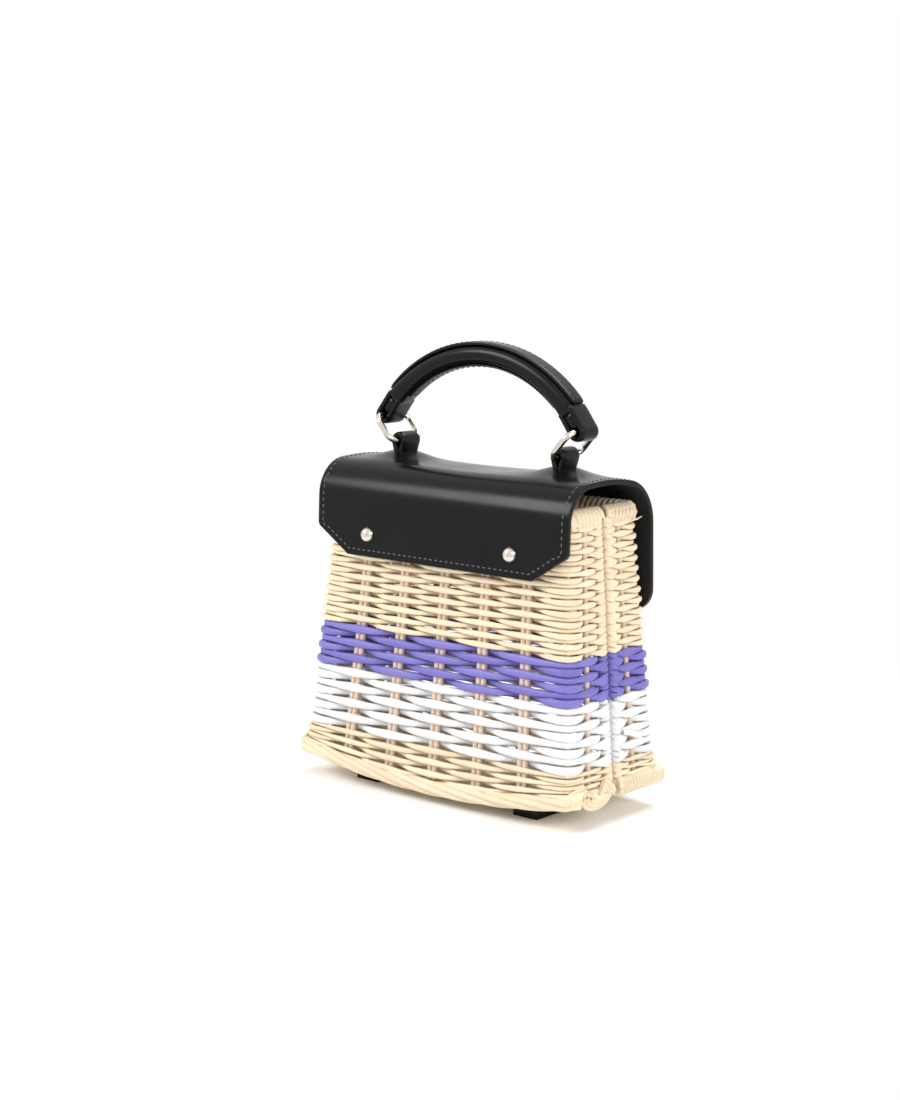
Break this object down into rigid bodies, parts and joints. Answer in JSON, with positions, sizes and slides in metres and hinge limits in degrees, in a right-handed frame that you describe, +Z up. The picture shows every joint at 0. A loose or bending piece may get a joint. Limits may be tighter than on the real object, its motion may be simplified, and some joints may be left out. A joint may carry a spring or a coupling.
{
  "type": "wicker handbag",
  "caption": "Small woven wicker box handbag in two hinged halves, with blue and white bands, a leather flap riveted at the back and a leather top handle on rings.",
  "frame": {"origin": "on the floor, under the middle of the base, at the split between the halves", "axes": "+Z up, front (long side of the flap) towards -Y, width along X"},
  "size_m": [0.1732, 0.0824, 0.2229],
  "materials": {
    "natural_reed": "matt bare reed",
    "stake": "matt bare reed, darker",
    "blue_reed": "satin paint on reed",
    "white_reed": "satin paint on reed",
    "leather": "smooth, soft sheen",
    "metal": "polished pale gold plating"
  },
  "bodies": {
    "rear_half": {"rear_base": "natural_reed", "rear_border": "natural_reed", "rear_lower_weave": "natural_reed", "rear_white_weave": "white_reed", "rear_blue_weave": "blue_reed", "rear_upper_weave": "natural_reed", "rear_stakes": "stake", "rear_rim": "natural_reed", "left_strap_rear": "leather", "right_strap_rear": "leather", "flap_rear_panel": "leather", "flap_rivets": "metal", "rivet_burrs": "metal"},
    "front_half": {"front_base": "natural_reed", "front_border": "natural_reed", "front_lower_weave": "natural_reed", "front_white_weave": "white_reed", "front_blue_weave": "blue_reed", "front_upper_weave": "natural_reed", "front_stakes": "stake", "front_rim": "natural_reed", "left_strap_front": "leather", "right_strap_front": "leather", "snap_socket": "metal"},
    "flap_body": {"flap": "leather", "snap_stud": "metal", "left_tab": "leather", "right_tab": "leather"},
    "left_ring_body": {"left_ring": "metal"},
    "right_ring_body": {"right_ring": "metal"},
    "handle": {"handle_grip": "leather", "handle_top_strip": "leather", "handle_underside_strip": "leather", "handle_left_loop": "leather", "handle_right_loop": "leather"}
  },
  "joints": [
    {"name": "flap_hinge", "type": "hinge", "parent": "rear_half", "child": "flap_body", "pos_m": [0, 0.03421, 0.149], "axis": [-1, 0, 0], "range_deg": [0, 135]},
    {"name": "front_half_hinge", "type": "hinge", "parent": "rear_half", "child": "front_half", "pos_m": [0, 0, 0], "axis": [1, 0, 0], "range_deg": [0, 18]},
    {"name": "left_ring_swing", "type": "hinge", "parent": "flap_body", "child": "left_ring_body", "pos_m": [0.0495, 0, 0.1711], "axis": [0, 1, 0], "range_deg": [-10, 10]},
    {"name": "right_ring_swing", "type": "hinge", "parent": "flap_body", "child": "right_ring_body", "pos_m": [-0.0495, 0, 0.1711], "axis": [0, 1, 0], "range_deg": [-10, 10]},
    {"name": "handle_pivot", "type": "hinge", "parent": "left_ring_body", "child": "handle", "pos_m": [0.05978, 0, 0.18336], "axis": [0, 1, 0], "range_deg": [-8.5, 8.5]}
  ],
  "couplings": [
    {"joint": "front_half_hinge", "follows": "flap_hinge", "ratio": 0.13333},
    {"joint": "right_ring_swing", "follows": "left_ring_swing", "ratio": 1},
    {"joint": "handle_pivot", "follows": "left_ring_swing", "ratio": -0.828}
  ]
}
